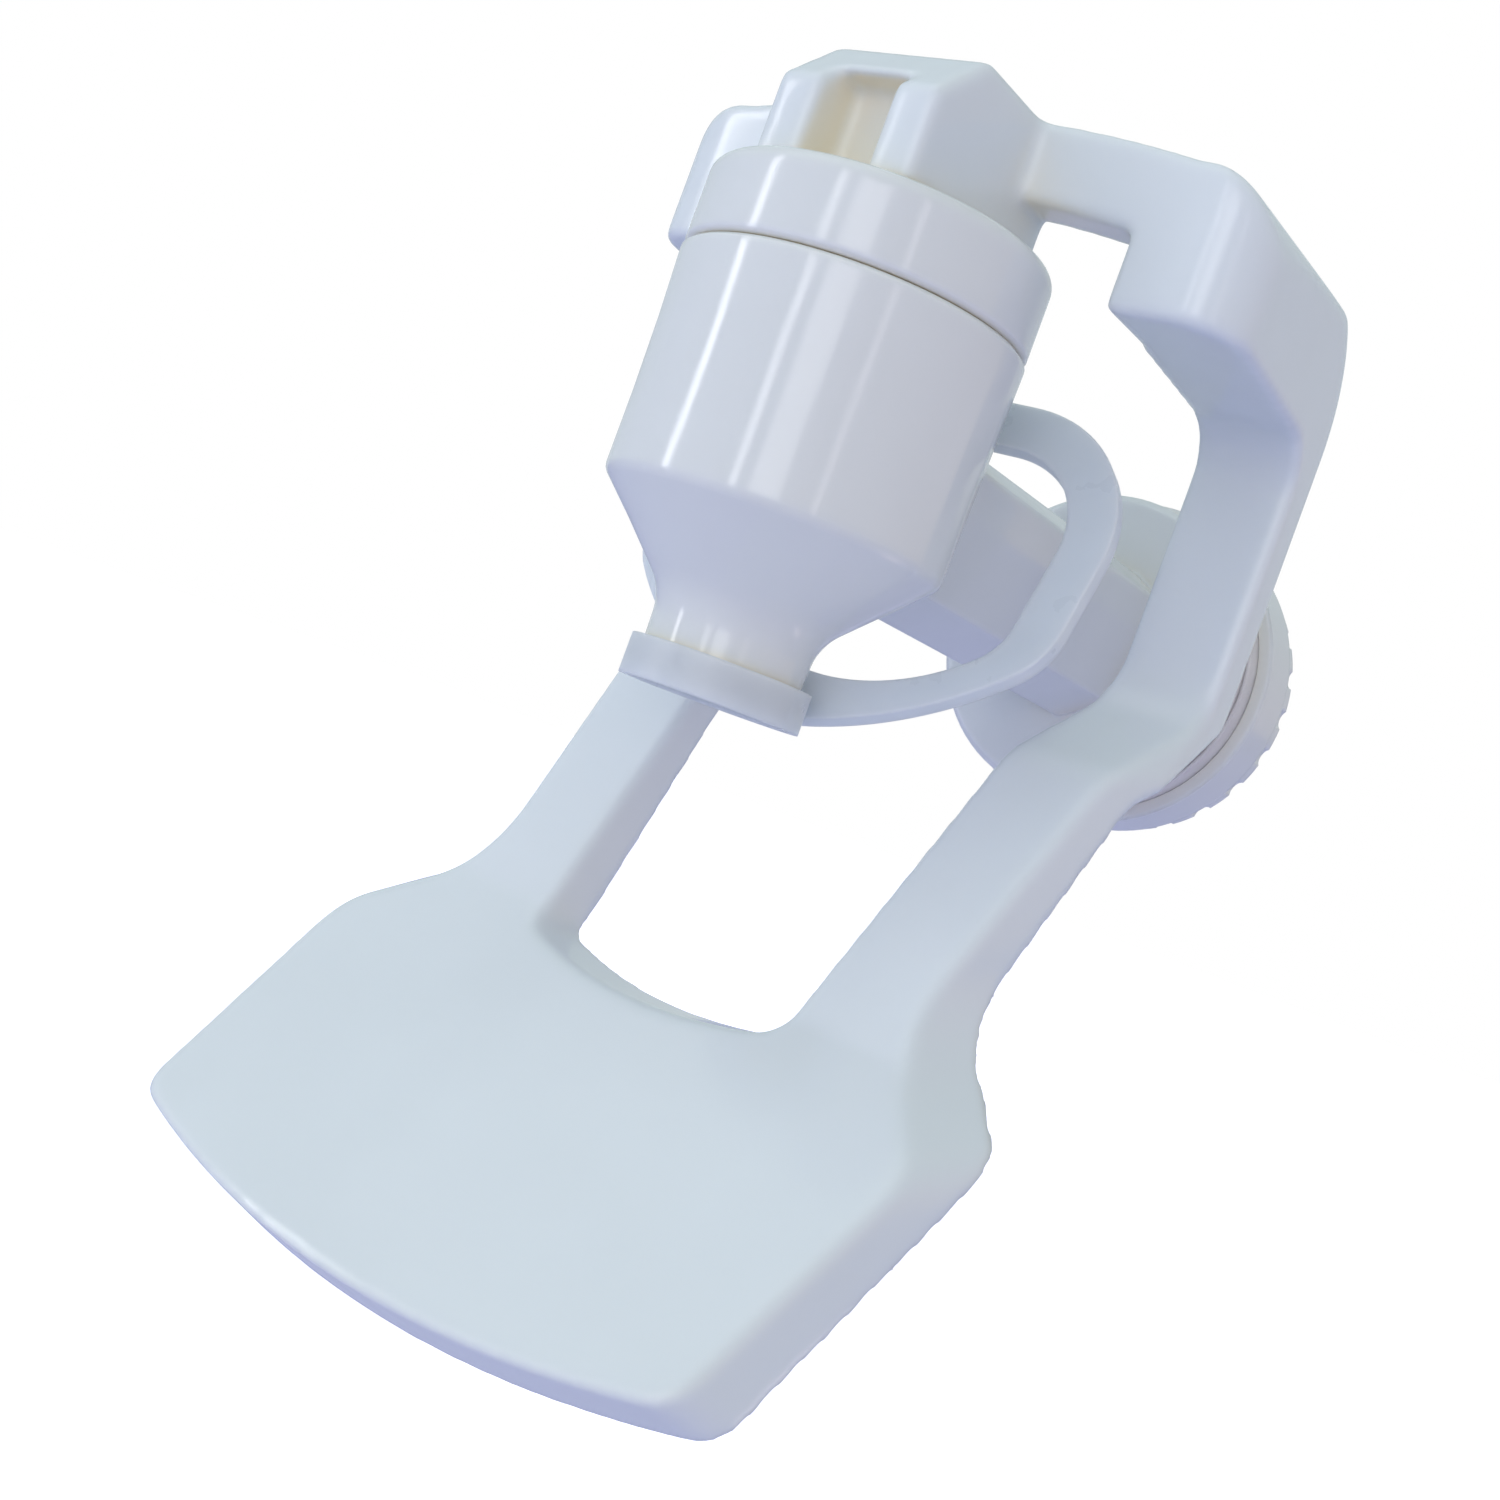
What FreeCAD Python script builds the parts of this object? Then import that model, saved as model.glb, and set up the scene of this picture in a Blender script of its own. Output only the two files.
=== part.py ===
import FreeCAD, Part
import Sketcher
import math
import os

# Water purifier tap: a moulded cup valve on a threaded shank, worked by a push lever.
# Frame: the origin is on the shank axis in the plane of the flange's back face, which
# clamps against the tank. +Z is up, the nozzle points down and the paddle faces -Y.

os.makedirs("parts", exist_ok=True)
doc = FreeCAD.newDocument("PurifierTap")
sheet = doc.addObject("Spreadsheet::Sheet", "Sizes")
sheet.Label = "Sizes"
rows = 0


class Size:
    """A length or angle: its number, and the same thing as an expression on the sheet."""

    def __init__(self, value, text):
        self.value = float(value)
        self.text = text

    def __add__(self, other):
        other = plain(other)
        return Size(self.value + other.value, "(" + self.text + " + " + other.text + ")")

    def __sub__(self, other):
        other = plain(other)
        return Size(self.value - other.value, "(" + self.text + " - " + other.text + ")")

    def __mul__(self, other):
        other = plain(other)
        return Size(self.value * other.value, "(" + self.text + " * " + other.text + ")")

    def __truediv__(self, other):
        other = plain(other)
        return Size(self.value / other.value, "(" + self.text + " / " + other.text + ")")

    def __neg__(self):
        return Size(-self.value, "(-1 * " + self.text + ")")

    __radd__ = __add__
    __rmul__ = __mul__


def plain(item):
    """A bare number as a Size, so that sums may mix the two."""
    if isinstance(item, Size):
        return item
    return Size(item, "(" + repr(float(item)) + ")")


def size(name, value):
    """Writes one driving dimension on the sheet and returns it."""
    global rows
    rows += 1
    sheet.set("A" + str(rows), name.replace("_", " "))
    sheet.set("B" + str(rows), str(value))
    sheet.setAlias("B" + str(rows), name)
    return Size(value, "Sizes." + name)


def sine(angle):
    return Size(math.sin(math.radians(angle.value)), "sin(" + angle.text + ")")


def cosine(angle):
    return Size(math.cos(math.radians(angle.value)), "cos(" + angle.text + ")")


def tangent(angle):
    return Size(math.tan(math.radians(angle.value)), "tan(" + angle.text + ")")


def root(item):
    return Size(math.sqrt(item.value), "sqrt(" + item.text + ")")


def slope_angle(item):
    """The angle in degrees whose tangent is given."""
    return Size(math.degrees(math.atan(item.value)), "(atan(" + item.text + ") / 1 deg)")


# Where the valve stands in front of the tank
reach = size("reach", 56.5)
seam_height = size("seam_height", 12.0)
outer_room = size("outer_room", 3.0)
fit_gap = size("fit_gap", 0.1)
seat_gap = size("seat_gap", 0.2)

# Cup, outlet cone and nozzle
cup_radius = size("cup_radius", 13.5)
cup_foot_radius = size("cup_foot_radius", 13.15)
cup_depth = size("cup_depth", 17.4)
cup_foot_round = size("cup_foot_round", 0.9)
cup_lip_bevel = size("cup_lip_bevel", 0.3)
cone_angle = size("cone_angle", 45.0)
cone_round = size("cone_round", 4.5)
nozzle_radius = size("nozzle_radius", 6.25)
nozzle_end_radius = size("nozzle_end_radius", 6.05)
nozzle_depth = size("nozzle_depth", 30.6)
outlet_radius = size("outlet_radius", 4.0)
chamber_radius = size("chamber_radius", 9.6)
chamber_depth = size("chamber_depth", 18.2)
seat_radius = size("seat_radius", 5.6)
seat_height = size("seat_height", 1.2)
cap_socket_radius = size("cap_socket_radius", 11.2)
cap_socket_depth = size("cap_socket_depth", 6.0)

# Shank, flange and thread
shank_half_width = size("shank_half_width", 6.3)
shank_top = size("shank_top", 7.6)
shank_top_half_width = size("shank_top_half_width", 3.0)
shank_shoulder = size("shank_shoulder", 5.6)
shank_facet_foot = size("shank_facet_foot", 2.2)
shank_side_x = size("shank_side_x", 4.9)
shank_side_z = size("shank_side_z", 4.9)
shank_bottom = size("shank_bottom", 7.5)
shank_round = size("shank_round", 0.8)
flange_radius = size("flange_radius", 15.0)
flange_thickness = size("flange_thickness", 2.5)
flange_bevel = size("flange_bevel", 0.6)
thread_radius = size("thread_radius", 7.9)
thread_length = size("thread_length", 24.0)
thread_chamfer = size("thread_chamfer", 0.8)
inlet_radius = size("inlet_radius", 3.2)

# Screwed cap over the cup
cap_radius = size("cap_radius", 13.4)
cap_height = size("cap_height", 6.8)
cap_round = size("cap_round", 1.3)
cap_foot_bevel = size("cap_foot_bevel", 0.35)
cap_seam = size("cap_seam", 0.15)
cap_roof = size("cap_roof", 2.6)
cap_skirt_wall = size("cap_skirt_wall", 1.7)
cap_skirt_length = size("cap_skirt_length", 4.4)
stem_radius = size("stem_radius", 2.0)
stem_play = size("stem_play", 0.08)

# Stem, its head bar and its collar
head_radius = size("head_radius", 1.6)
head_length = size("head_length", 9.0)
head_rise = size("head_rise", 4.7)
head_play = size("head_play", 0.3)
collar_radius = size("collar_radius", 4.6)
collar_thickness = size("collar_thickness", 1.4)
collar_drop = size("collar_drop", 9.2)
plug_pin_length = size("plug_pin_length", 5.2)
plug_pin_radius = size("plug_pin_radius", 1.6)

# Return spring
spring_radius = size("spring_radius", 3.7)
wire_radius = size("wire_radius", 0.35)
spring_turns = size("spring_turns", 5)
wire_sides = 8

# Seat plug and seals of soft silicone
plug_radius = size("plug_radius", 6.4)
plug_thickness = size("plug_thickness", 2.2)
plug_neck_radius = size("plug_neck_radius", 3.0)

# Silicone strap: a collar on the nozzle and a flat loop round the shank
collar_ring_radius = size("collar_ring_radius", 6.8)
collar_ring_height = size("collar_ring_height", 3.1)
collar_ring_lip = size("collar_ring_lip", 0.5)
strap_thickness = size("strap_thickness", 1.3)
strap_width = size("strap_width", 3.8)
strap_lean = size("strap_lean", 19.0)
strap_half_width = size("strap_half_width", 19.8)
strap_clearance = size("strap_clearance", 0.3)
strap_corner_drop = size("strap_corner_drop", 20.0)
strap_foot_half_width = size("strap_foot_half_width", 3.4)
strap_foot_bow = size("strap_foot_bow", 1.5)
strap_foot_rise = size("strap_foot_rise", 1.2)
strap_top_round = size("strap_top_round", 12.0)
strap_corner_round = size("strap_corner_round", 6.5)

# Gaskets and nut behind the flange
gasket_radius = size("gasket_radius", 14.6)
gasket_thickness = size("gasket_thickness", 2.4)
back_gasket_radius = size("back_gasket_radius", 14.9)
back_gasket_thickness = size("back_gasket_thickness", 2.2)
nut_flange_radius = size("nut_flange_radius", 16.2)
nut_flange_thickness = size("nut_flange_thickness", 6.0)
nut_grip_radius = size("nut_grip_radius", 15.6)
nut_height = size("nut_height", 8.8)
nut_ribs = size("nut_ribs", 24)
nut_rib_radius = size("nut_rib_radius", 1.0)
thread_play = size("thread_play", 0.06)

# Lever: hinge, tower and stem slot
hinge_setback = size("hinge_setback", 8.95)
tower_half_width = size("tower_half_width", 7.0)
tower_front_rise = size("tower_front_rise", 6.7)
tower_ridge = size("tower_ridge", 3.9)
tower_rise = size("tower_rise", 11.2)
tower_back = size("tower_back", 10.1)
pocket_half_width = size("pocket_half_width", 3.1)
pocket_back = size("pocket_back", 4.35)
pocket_ceiling = size("pocket_ceiling", 8.0)
slot_front = size("slot_front", 2.5)
slot_side_play = size("slot_side_play", 0.4)
head_end_play = size("head_end_play", 0.35)
head_top_play = size("head_top_play", 0.45)

# Lever: bridge and side rails, with heights measured from the hinge
bridge_front = size("bridge_front", 4.75)
bridge_back = size("bridge_back", 9.45)
bridge_underside = size("bridge_underside", 4.0)
bridge_arch = size("bridge_arch", 1.5)
top_bow = size("top_bow", 0.5)
top_shoulder_x = size("top_shoulder_x", 20.4)
top_shoulder_drop = size("top_shoulder_drop", 1.5)
rail_shoulder_drop = size("rail_shoulder_drop", 6.0)
rail_shoulder_bow = size("rail_shoulder_bow", 1.4)
rail_half_width = size("rail_half_width", 26.7)
rail_inner = size("rail_inner", 17.5)
rail_inner_back = size("rail_inner_back", 15.4)
rail_straight = size("rail_straight", 27.0)
rail_front_width = size("rail_front_width", 3.6)
rail_cheek_back = size("rail_cheek_back", 10.0)
rail_cheek_bow = size("rail_cheek_bow", 1.9)
rail_outer_back = size("rail_outer_back", 23.2)
back_edge_round = size("back_edge_round", 3.0)
rail_foot = size("rail_foot", 2.0)
arm_front = size("arm_front", 31.2)
arm_back = size("arm_back", 38.0)
rail_back_round = size("rail_back_round", 12.5)
armpit_round = size("armpit_round", 4.5)

# Lever: jog, arms and paddle, with drops measured down from the hinge
split_drop = size("split_drop", 22.0)
jog_top_drop = size("jog_top_drop", 25.1)
jog_foot_drop = size("jog_foot_drop", 32.75)
jog_back_drop = size("jog_back_drop", 24.3)
knee_reach = size("knee_reach", 23.1)
knee_drop = size("knee_drop", 34.2)
jog_round = size("jog_round", 7.0)
bend_reach = size("bend_reach", 5.84)
arm_outer_drop = size("arm_outer_drop", 56.1)
bend_below = size("bend_below", 1.04)
arm_lean = size("arm_lean", 28.6)
paddle_lean = size("paddle_lean", 43.75)
back_bend_depth = size("back_bend_depth", 6.4)
paddle_depth = size("paddle_depth", 7.6)
paddle_height = size("paddle_height", 19.1)
paddle_foot_bow = size("paddle_foot_bow", 3.1)
arm_outer_foot = size("arm_outer_foot", 20.7)
shoulder_reach = size("shoulder_reach", 7.8)
shoulder_fall = size("shoulder_fall", 7.0)
side_draw_in = size("side_draw_in", 2.3)
arm_face_width = size("arm_face_width", 8.5)
window_below = size("window_below", 2.7)
wall_flare = size("wall_flare", 13.5)
wall_rise = size("wall_rise", 14.0)
foot_tilt = size("foot_tilt", 29.0)
window_bow = size("window_bow", 1.7)
shoulder_inner_run = size("shoulder_inner_run", 5.0)
shoulder_inner_bow = size("shoulder_inner_bow", 1.05)
shoulder_outer_round = size("shoulder_outer_round", 3.6)
paddle_corner_round = size("paddle_corner_round", 2.4)
window_round = size("window_round", 2.2)

doc.recompute()


def new_body(name):
    body = doc.addObject("PartDesign::Body", name)
    body.Label = name
    return body


def plane(body, role):
    """One of the body's own origin planes, found by its role."""
    for item in body.Origin.OriginFeatures:
        if item.Role == role:
            return item
    raise RuntimeError("no " + role)


def new_sketch(body, name, role, offset=None):
    """A sketch on an origin plane of its own body, moved along the plane's normal."""
    sketch = body.newObject("Sketcher::SketchObject", name)
    sketch.AttachmentSupport = [(plane(body, role), "")]
    sketch.MapMode = "FlatFace"
    if offset is not None:
        sketch.setExpression("AttachmentOffset.Base.z", offset.text)
    return sketch


def pin_point(sketch, edge, end, point):
    """Holds one end of an edge at a point whose coordinates come from the sheet."""
    names = ("DistanceX", "DistanceY")
    for name, item in zip(names, point):
        index = sketch.addConstraint(
            Sketcher.Constraint(name, -1, 1, edge, end, plain(item).value)
        )
        sketch.setExpression("Constraints[" + str(index) + "]", plain(item).text)


def prism(
    body, name, role, corners, length, offset=None, midplane=False, cut=False, reverse=False, tilt=None
):
    """A pad, or a pocket, of one closed outline.

    A tilt is the two parts of an axis on the sketch's plane, and the angle in degrees
    by which the sketch turns about it."""
    sketch = new_sketch(body, name + "_outline", role, offset)
    if tilt is not None:
        lean_x, lean_y, angle = [plain(item) for item in tilt]
        sketch.AttachmentOffset = FreeCAD.Placement(
            FreeCAD.Vector(0, 0, 0), FreeCAD.Rotation(FreeCAD.Vector(lean_x.value, lean_y.value, 0), angle.value)
        )
        sketch.setExpression("AttachmentOffset.Rotation.Axis.x", lean_x.text)
        sketch.setExpression("AttachmentOffset.Rotation.Axis.y", lean_y.text)
        sketch.setExpression("AttachmentOffset.Rotation.Angle", "(" + angle.text + ") * 1 deg")
    draw_polygon(sketch, corners)
    kind = "PartDesign::Pocket" if cut else "PartDesign::Pad"
    feature = body.newObject(kind, name)
    feature.Profile = sketch
    feature.setExpression("Length", plain(length).text)
    feature.Midplane = midplane
    feature.Reversed = reverse
    sketch.Visibility = False
    return feature


def draw_polygon(sketch, corners):
    """A closed outline through corners that the sheet places.

    A third entry in a corner bows the edge that follows it: its sag, to the right of
    the way the outline runs when positive."""
    count = len(corners)
    base = sketch.GeometryCount
    ends = []
    for index in range(count):
        here = corners[index]
        after = corners[(index + 1) % count]
        x1 = plain(here[0])
        y1 = plain(here[1])
        x2 = plain(after[0])
        y2 = plain(after[1])
        start = FreeCAD.Vector(x1.value, y1.value, 0)
        end = FreeCAD.Vector(x2.value, y2.value, 0)
        if len(here) == 3:
            sag = plain(here[2])
            chord = (end - start).Length
            bow = abs(sag.value)
            radius = (chord * chord / 4 + bow * bow) / (2 * bow)
            along = (end - start) / chord
            side = FreeCAD.Vector(along.y, -along.x, 0)
            if sag.value < 0:
                side = side * -1
            centre = (start + end) * 0.5 - side * (radius - bow)
            circle = Part.Circle(centre, FreeCAD.Vector(0, 0, 1), radius)
            from_angle = math.atan2(start.y - centre.y, start.x - centre.x)
            to_angle = math.atan2(end.y - centre.y, end.x - centre.x)
            forward = (start - centre).cross(end - centre).z > 0
            if forward:
                arc = Part.ArcOfCircle(circle, from_angle, to_angle)
            else:
                arc = Part.ArcOfCircle(circle, to_angle, from_angle)
            edge = sketch.addGeometry(arc, False)
            heads = (1, 2) if forward else (2, 1)
            ends.append((edge, heads[0], heads[1], (x1, y1), sag, (x2, y2)))
        else:
            edge = sketch.addGeometry(Part.LineSegment(start, end), False)
            ends.append((edge, 1, 2, (x1, y1), None, (x2, y2)))
    for index in range(count):
        edge, head, tail, point, sag, far = ends[index]
        following = ends[(index + 1) % count]
        sketch.addConstraint(
            Sketcher.Constraint("Coincident", edge, tail, following[0], following[1])
        )
    for edge, head, tail, point, sag, far in ends:
        pin_point(sketch, edge, head, point)
        if sag is not None:
            dx = far[0] - point[0]
            dy = far[1] - point[1]
            quarter = (dx * dx + dy * dy) * 0.25
            radius = (quarter + sag * sag) / (sag * 2)
            if sag.value < 0:
                radius = -radius
            index = sketch.addConstraint(
                Sketcher.Constraint("Radius", edge, radius.value)
            )
            sketch.setExpression("Constraints[" + str(index) + "]", radius.text)
    return base


def turn(body, name, corners, cut=False):
    """A full turn of a closed outline in the XZ plane about the Z axis."""
    sketch = new_sketch(body, name + "_outline", "XZ_Plane")
    draw_polygon(sketch, corners)
    kind = "PartDesign::Groove" if cut else "PartDesign::Revolution"
    feature = body.newObject(kind, name)
    feature.Profile = sketch
    feature.ReferenceAxis = (sketch, ["V_Axis"])
    feature.Angle = 360
    sketch.Visibility = False
    return feature


def near(one, other, slack=0.02):
    return abs(one - other) < slack


def edges_where(feature, test):
    """Names of the edges of a feature whose every sampled point passes a test."""
    doc.recompute()
    names = []
    for number, edge in enumerate(feature.Shape.Edges, 1):
        first = edge.FirstParameter
        last = edge.LastParameter
        points = [edge.valueAt(first + (last - first) * k / 6.0) for k in range(7)]
        if all(test(point) for point in points):
            names.append("Edge" + str(number))
    if not names:
        raise RuntimeError("no edge found on " + feature.Name)
    return names


def round_edges(body, name, base, test, radius):
    feature = body.newObject("PartDesign::Fillet", name)
    feature.Base = (base, edges_where(base, test))
    feature.setExpression("Radius", radius.text)
    doc.recompute()
    return feature


def bevel_edges(body, name, base, test, width):
    feature = body.newObject("PartDesign::Chamfer", name)
    feature.Base = (base, edges_where(base, test))
    feature.setExpression("Size", width.text)
    doc.recompute()
    return feature


def place(body, x, y, z):
    body.setExpression("Placement.Base.x", plain(x).text)
    body.setExpression("Placement.Base.y", plain(y).text)
    body.setExpression("Placement.Base.z", plain(z).text)


zero = plain(0)
parts = []

# Valve body
# One moulding: the cup and nozzle are turned about the valve axis, the shank runs back
# from the cup to the flange, and the threaded tail goes through the tank wall.
valve = new_body("valve_body")
cone_drop = (cup_foot_radius - nozzle_radius) / tangent(cone_angle)
cone_foot = -(cup_depth + cone_drop)
cup = turn(valve, "CupTurn", [
    (zero, zero),
    (cup_radius, zero),
    (cup_foot_radius, -cup_depth),
    (nozzle_radius, cone_foot),
    (nozzle_end_radius, -nozzle_depth),
    (zero, -nozzle_depth),
])
doc.recompute()


def ring_test(radius, height):
    """Picks the circle of a turned piece at one radius and height."""
    def test(point):
        across = math.hypot(point.x, point.y)
        return near(across, radius.value) and near(point.z, height.value)
    return test


cup = bevel_edges(valve, "CupLipBevel", cup, ring_test(cup_radius, zero), cup_lip_bevel)
cup = round_edges(valve, "CupFootRound", cup, ring_test(cup_foot_radius, -cup_depth), cup_foot_round)
cup = round_edges(valve, "ConeRound", cup, ring_test(nozzle_radius, cone_foot), cone_round)

shank_outline = [
    (-shank_top_half_width, shank_top - seam_height),
    (shank_top_half_width, shank_top - seam_height),
    (shank_half_width, shank_shoulder - seam_height),
    (shank_half_width, shank_facet_foot - seam_height),
    (shank_side_x, -(shank_side_z + seam_height)),
    (zero, -(shank_bottom + seam_height)),
    (-shank_side_x, -(shank_side_z + seam_height)),
    (-shank_half_width, shank_facet_foot - seam_height),
    (-shank_half_width, shank_shoulder - seam_height),
]
# The shank starts inside the cup's wall and ends in the flange.
shank = prism(
    valve, "Shank", "XZ_Plane", shank_outline,
    reach - flange_thickness * 0.5, reverse=True,
)
doc.recompute()
shank = round_edges(
    valve, "ShankRound", shank,
    lambda p: p.y > cup_radius.value * 0.2 and p.z > -seam_height.value and near(abs(p.x), shank_half_width.value),
    shank_round,
)


def disc(body, name, radius, from_y, length, cut=False, axis_z=None):
    """A disc or bore along Y, running back from a plane; the shank axis unless told."""
    height = -seam_height if axis_z is None else axis_z
    sketch = new_sketch(body, name + "_outline", "XZ_Plane", -from_y)
    index = sketch.addGeometry(
        Part.Circle(
            FreeCAD.Vector(0, height.value, 0), FreeCAD.Vector(0, 0, 1), radius.value
        ), False,
    )
    pin_point(sketch, index, 3, (zero, height))
    number = sketch.addConstraint(Sketcher.Constraint("Radius", index, radius.value))
    sketch.setExpression("Constraints[" + str(number) + "]", radius.text)
    kind = "PartDesign::Pocket" if cut else "PartDesign::Pad"
    feature = body.newObject(kind, name)
    feature.Profile = sketch
    feature.setExpression("Length", length.text)
    feature.Reversed = not cut
    sketch.Visibility = False
    return feature


flange = disc(valve, "Flange", flange_radius, reach - flange_thickness, flange_thickness)
doc.recompute()


def axis_ring(radius, at_y, axis_z=None):
    """Picks a circle along Y at one radius and depth, about the shank axis unless told."""
    height = -seam_height if axis_z is None else axis_z

    def test(point):
        across = math.hypot(point.x, point.z - height.value)
        return near(across, radius.value) and near(point.y, at_y.value)
    return test


flange = bevel_edges(
    valve, "FlangeBevel", flange, axis_ring(flange_radius, reach - flange_thickness), flange_bevel
)
thread = disc(valve, "ThreadedTail", thread_radius, reach, thread_length)
thread = bevel_edges(
    valve, "TailChamfer", thread, axis_ring(thread_radius, reach + thread_length), thread_chamfer
)

chamber_floor = -(chamber_depth)
seat_top = chamber_floor + seat_height
seat_outer = seat_radius
chamber = turn(valve, "Chamber", [
    (zero, plain(1)),
    (cap_socket_radius, plain(1)),
    (cap_socket_radius, -cap_socket_depth),
    (chamber_radius, -cap_socket_depth),
    (chamber_radius, chamber_floor),
    (seat_outer, chamber_floor),
    (seat_outer - seat_height * 0.5, seat_top),
    (outlet_radius, seat_top),
    (outlet_radius, -(nozzle_depth + 1)),
    (zero, -(nozzle_depth + 1)),
], cut=True)
doc.recompute()
inlet = disc(
    valve, "InletBore", inlet_radius, chamber_radius * 0.5,
    reach + thread_length - chamber_radius * 0.5 + 1, cut=True,
)
place(valve, 0, -reach, seam_height)
parts.append(valve)

# Cap
# A turned lid with a skirt that screws into the cup, bored for the stem.
cap = new_body("cap")
skirt_radius = cap_socket_radius - fit_gap
skirt_inner = skirt_radius - cap_skirt_wall
cap_top = cap_height
stem_bore = stem_radius + stem_play
lid = turn(cap, "LidTurn", [
    (stem_bore, cap_top),
    (cap_radius, cap_top),
    (cap_radius, cap_seam),
    (skirt_radius, cap_seam),
    (skirt_radius, -cap_skirt_length),
    (skirt_inner, -cap_skirt_length),
    (skirt_inner, cap_top - cap_roof),
    (stem_bore, cap_top - cap_roof),
])
lid = round_edges(cap, "LidTopRound", lid, ring_test(cap_radius, cap_top), cap_round)
lid = bevel_edges(cap, "LidFootBevel", lid, ring_test(cap_radius, cap_seam), cap_foot_bevel)
place(cap, 0, -reach, seam_height)
parts.append(cap)

# Stem
# A turned rod with a spring collar, a pin for the seat plug and a round head bar that
# lies across the top, held in the lever's slot.
stem = new_body("stem")
head_height = cap_height + seat_gap + head_rise
collar_top = cap_height - collar_drop
pin_foot = seat_top + seat_gap + plug_thickness * 0.5
rod = turn(stem, "RodTurn", [
    (zero, head_height),
    (stem_radius, head_height),
    (stem_radius, collar_top),
    (collar_radius, collar_top),
    (collar_radius, collar_top - collar_thickness),
    (stem_radius, collar_top - collar_thickness),
    (stem_radius, pin_foot + plug_pin_length),
    (plug_pin_radius, pin_foot + plug_pin_length),
    (plug_pin_radius, pin_foot),
    (zero, pin_foot),
])
bar_sketch = new_sketch(stem, "HeadBar_outline", "YZ_Plane")
bar_circle = bar_sketch.addGeometry(
    Part.Circle(FreeCAD.Vector(0, head_height.value, 0), FreeCAD.Vector(0, 0, 1), head_radius.value), False
)
pin_point(bar_sketch, bar_circle, 3, (zero, head_height))
number = bar_sketch.addConstraint(Sketcher.Constraint("Radius", bar_circle, head_radius.value))
bar_sketch.setExpression("Constraints[" + str(number) + "]", head_radius.text)
bar = stem.newObject("PartDesign::Pad", "HeadBar")
bar.Profile = bar_sketch
bar.setExpression("Length", head_length.text)
bar.Midplane = True
place(stem, 0, -reach, seam_height)
parts.append(stem)

# Return spring
# Wire wound between the cap's roof and the stem's collar.
spring_foot = collar_top + wire_radius + seat_gap * 0.5
spring_head = cap_height - cap_roof - wire_radius - seat_gap * 0.5
spring_length = spring_head - spring_foot
spring = doc.addObject("Part::Feature", "return_spring")
spring.Label = "return_spring"
helix = Part.makeHelix(
    spring_length.value / spring_turns.value, spring_length.value, spring_radius.value
)
# The wire's section has many flat sides, so that the coil stays light.
wire_corners = []
for step in range(wire_sides + 1):
    angle = 2 * math.pi * (step % wire_sides) / wire_sides
    wire_corners.append(FreeCAD.Vector(
        spring_radius.value + wire_radius.value * math.cos(angle), 0, wire_radius.value * math.sin(angle)
    ))
coil = Part.Wire(helix.Edges).makePipeShell([Part.makePolygon(wire_corners)], True, True)
spring.Shape = coil
spring.Placement = FreeCAD.Placement(
    FreeCAD.Vector(0, -reach.value, seam_height.value + spring_foot.value), FreeCAD.Rotation()
)
parts.append(spring)

# Seat plug
# A soft bell pressed on the stem's pin that closes the outlet.
plug = new_body("seat_plug")
plug_foot = seat_top + seat_gap
plug_neck_top = pin_foot + plug_pin_length - seat_gap
bell = turn(plug, "BellTurn", [
    (zero, plug_foot),
    (plug_radius, plug_foot),
    (plug_radius, plug_foot + plug_thickness * 0.5),
    (plug_neck_radius, plug_foot + plug_thickness),
    (plug_neck_radius, plug_neck_top),
    (plug_pin_radius, plug_neck_top),
    (plug_pin_radius, pin_foot),
    (zero, pin_foot),
])
place(plug, 0, -reach, seam_height)
parts.append(plug)

# Cap seal
# A flat ring between the foot of the cap's skirt and the step in the cup.
seal = new_body("cap_seal")
seal_top = -cap_skirt_length - fit_gap
seal_foot = -cap_socket_depth + fit_gap
ring = turn(seal, "SealTurn", [
    (chamber_radius, seal_foot),
    (cap_socket_radius - fit_gap, seal_foot),
    (cap_socket_radius - fit_gap, seal_top),
    (chamber_radius, seal_top),
])
place(seal, 0, -reach, seam_height)
parts.append(seal)

# Nozzle strap
# One soft moulding: a collar that grips the nozzle's end and a flat loop leaning back
# round the shank.
strap = new_body("nozzle_strap")
collar_inner = nozzle_radius + fit_gap
collar_top_drop = nozzle_depth + collar_ring_lip - collar_ring_height
sleeve = turn(strap, "CollarTurn", [
    (collar_inner, -(nozzle_depth + collar_ring_lip)),
    (collar_ring_radius + collar_ring_lip * 0.5, -(nozzle_depth + collar_ring_lip)),
    (collar_ring_radius + collar_ring_lip * 0.5, -collar_top_drop),
    (collar_inner, -collar_top_drop),
])
doc.recompute()
# The loop leans back so that it clears the cup and hangs over the shank.
strap_foot = strap_foot_rise - (nozzle_depth + collar_ring_lip)
collar_back = collar_ring_radius + collar_ring_lip * 0.5
strap_setback = collar_back + strap_thickness * 0.5 - tangent(strap_lean) * strap_foot - collar_ring_lip
strap_top = shank_top - seam_height + strap_clearance + strap_width
stretch = plain(1) / cosine(strap_lean)


def loop_corners(inset):
    """The loop's outline, moved inwards all round by an inset."""
    return [
        (inset - strap_half_width, (strap_top - inset) * stretch),
        (inset - strap_half_width, -strap_corner_drop * stretch, strap_foot_bow),
        (-strap_foot_half_width, (strap_foot + inset) * stretch),
        (strap_foot_half_width, (strap_foot + inset) * stretch, strap_foot_bow),
        (strap_half_width - inset, -strap_corner_drop * stretch),
        (strap_half_width - inset, (strap_top - inset) * stretch),
    ]


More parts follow.
